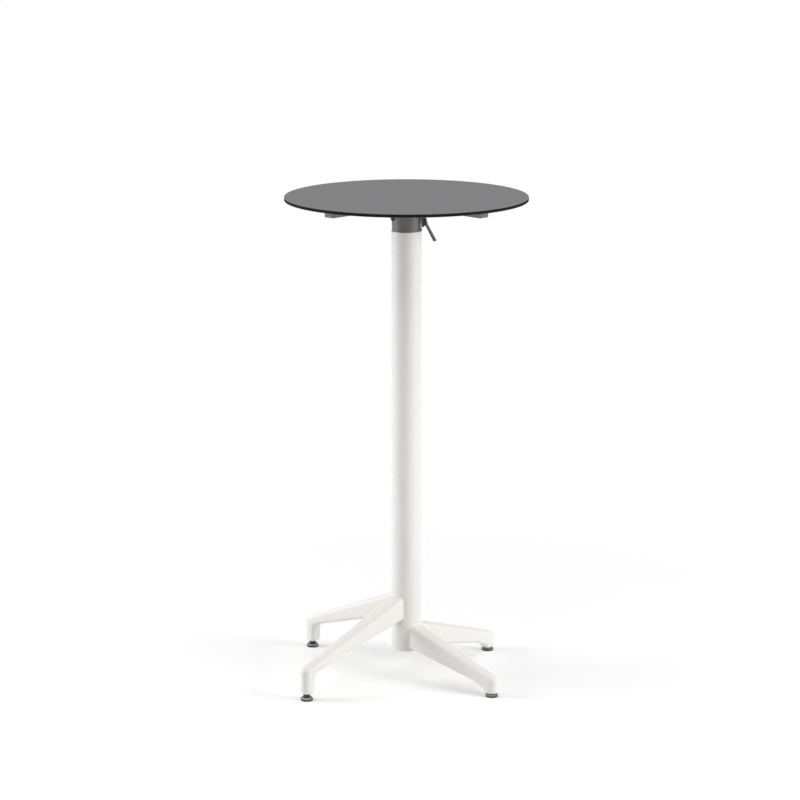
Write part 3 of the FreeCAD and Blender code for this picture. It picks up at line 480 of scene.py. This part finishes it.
def spring_route():
    """The spring's line: a leg on the lever, the coil round the pin, and a leg on the bracket's boss."""
    route = [from_lever_pivot(x, SPRING_LEVER_SIDE, z) for x, z in SPRING_LEVER_LEG]
    steps = int(SPRING_TURNS * SPRING_STEPS_PER_TURN)
    for step in range(steps + 1):
        share = step / steps
        angle = FULL_TURN * SPRING_TURNS * share
        side = SPRING_LEVER_SIDE + (SPRING_BOSS_SIDE - SPRING_LEVER_SIDE) * share
        x = SPRING_COIL_RADIUS * math.cos(angle)
        z = SPRING_COIL_RADIUS * math.sin(angle)
        route.append(from_lever_pivot(x, side, z))
    x, z = SPRING_BOSS_LEG
    route.append(from_lever_pivot(x, SPRING_BOSS_SIDE, z))
    return route


def build_spring():
    """Torsion spring: its coil twists between the lever and the bracket."""
    route = spring_route()
    curve = bpy.data.curves.new("spring_route", "CURVE")
    curve.dimensions = "3D"
    curve.bevel_depth = SPRING_WIRE_RADIUS
    curve.bevel_resolution = SPRING_WIRE_ROUNDING
    curve.use_fill_caps = True
    spline = curve.splines.new("POLY")
    spline.points.add(len(route) - 1)
    for point, place in zip(spline.points, route):
        point.co = (*place, 1.0)
    carrier = bpy.data.objects.new("spring_route", curve)
    mesh = bpy.data.meshes.new_from_object(carrier)
    bpy.data.objects.remove(carrier)
    piece = add_piece("torsion_spring", mesh, "zinc_steel", "lever_spring")
    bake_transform(piece)


# Studio

def combined(tree, operation, first, second):
    """The result of a math node on two sockets, or on a socket and a number."""
    node = tree.nodes.new("ShaderNodeMath")
    node.operation = operation
    tree.links.new(first, node.inputs[0])
    if isinstance(second, float):
        node.inputs[1].default_value = second
    else:
        tree.links.new(second, node.inputs[1])
    return node.outputs["Value"]


def seen_directly(tree):
    """1 for rays from the camera and for reflected or refracted ones, 0 for those that carry light."""
    path = tree.nodes.new("ShaderNodeLightPath")
    seen = path.outputs["Is Camera Ray"]
    for kind in ("Is Glossy Ray", "Is Transmission Ray"):
        seen = combined(tree, "MAXIMUM", seen, path.outputs[kind])
    return seen


def far_from_table(tree):
    """0 on the floor near the table, 1 past the fade."""
    place = tree.nodes.new("ShaderNodeNewGeometry")
    reach = tree.nodes.new("ShaderNodeVectorMath")
    reach.operation = "LENGTH"
    tree.links.new(place.outputs["Position"], reach.inputs[0])
    fade = tree.nodes.new("ShaderNodeMapRange")
    fade.interpolation_type = "SMOOTHSTEP"
    fade.inputs["From Min"].default_value = FLOOR_FADE_START
    fade.inputs["From Max"].default_value = FLOOR_FADE_END
    tree.links.new(reach.outputs["Value"], fade.inputs["Value"])
    return fade.outputs["Result"]


def floor_white():
    """Pale matt paint that looks white to the camera and keeps the soft shadow."""
    material = bpy.data.materials.new("floor_white")
    material.use_nodes = True
    tree = material.node_tree
    seen = seen_directly(tree)
    paint = tree.nodes["Principled BSDF"]
    paint.inputs["Base Color"].default_value = FLOOR_GREY
    paint.inputs["Roughness"].default_value = FLOOR_ROUGHNESS
    paint.inputs["Specular IOR Level"].default_value = 0.0
    paint.inputs["Emission Color"].default_value = WHITE
    tree.links.new(combined(tree, "MULTIPLY", seen, FLOOR_GLOW), paint.inputs["Emission Strength"])
    plain = tree.nodes.new("ShaderNodeEmission")
    plain.inputs["Color"].default_value = WHITE
    both = tree.nodes.new("ShaderNodeMixShader")
    tree.links.new(combined(tree, "MULTIPLY", seen, far_from_table(tree)), both.inputs["Fac"])
    tree.links.new(paint.outputs["BSDF"], both.inputs[1])
    tree.links.new(plain.outputs["Emission"], both.inputs[2])
    tree.links.new(both.outputs["Shader"], tree.nodes["Material Output"].inputs["Surface"])
    return material


def build_floor():
    bpy.ops.mesh.primitive_plane_add(size=FLOOR_SIZE)
    floor = bpy.context.object
    floor.name = "floor"
    floor.data.materials.append(floor_white())


def build_world():
    """White behind the table and in reflections; as a light it is dim."""
    world = bpy.data.worlds.new("studio")
    bpy.context.scene.world = world
    world.use_nodes = True
    tree = world.node_tree
    background = tree.nodes["Background"]
    background.inputs["Color"].default_value = WHITE
    level = tree.nodes.new("ShaderNodeMapRange")
    level.inputs["To Min"].default_value = BACKDROP_LIGHT
    level.inputs["To Max"].default_value = BACKDROP_SEEN
    tree.links.new(seen_directly(tree), level.inputs["Value"])
    tree.links.new(level.outputs["Result"], background.inputs["Strength"])


def build_lamps():
    """Rectangular soft lamps that point at the middle of the table."""
    for name, lamp in LAMPS.items():
        data = bpy.data.lights.new(name, "AREA")
        data.energy = lamp["watts"]
        data.shape = "RECTANGLE"
        data.size = lamp["width"]
        data.size_y = lamp["tall"]
        bearing = math.radians(lamp["bearing"])
        height = math.radians(lamp["height"])
        level_reach = math.cos(height)
        away = Vector((math.sin(bearing) * level_reach, -math.cos(bearing) * level_reach, math.sin(height)))
        softbox = bpy.data.objects.new(name, data)
        softbox.location = LAMP_AIM + away * lamp["distance"]
        softbox.rotation_euler = away.to_track_quat("Z", "Y").to_euler()
        bpy.context.scene.collection.objects.link(softbox)


def build_camera():
    data = bpy.data.cameras.new("camera")
    data.lens = CAMERA_LENS_MM
    data.sensor_width = CAMERA_SENSOR_MM
    data.clip_end = CAMERA_REACH
    camera = bpy.data.objects.new("camera", data)
    camera.location = CAMERA_PLACE
    camera.rotation_euler = (math.pi / 2.0 - CAMERA_PITCH_DOWN, 0.0, CAMERA_YAW)
    bpy.context.scene.collection.objects.link(camera)
    bpy.context.scene.camera = camera


dress_nodes()
build_stems()
build_screws()
build_spring()
build_floor()
build_world()
build_lamps()
build_camera()
bpy.context.scene.view_settings.view_transform = "Standard"
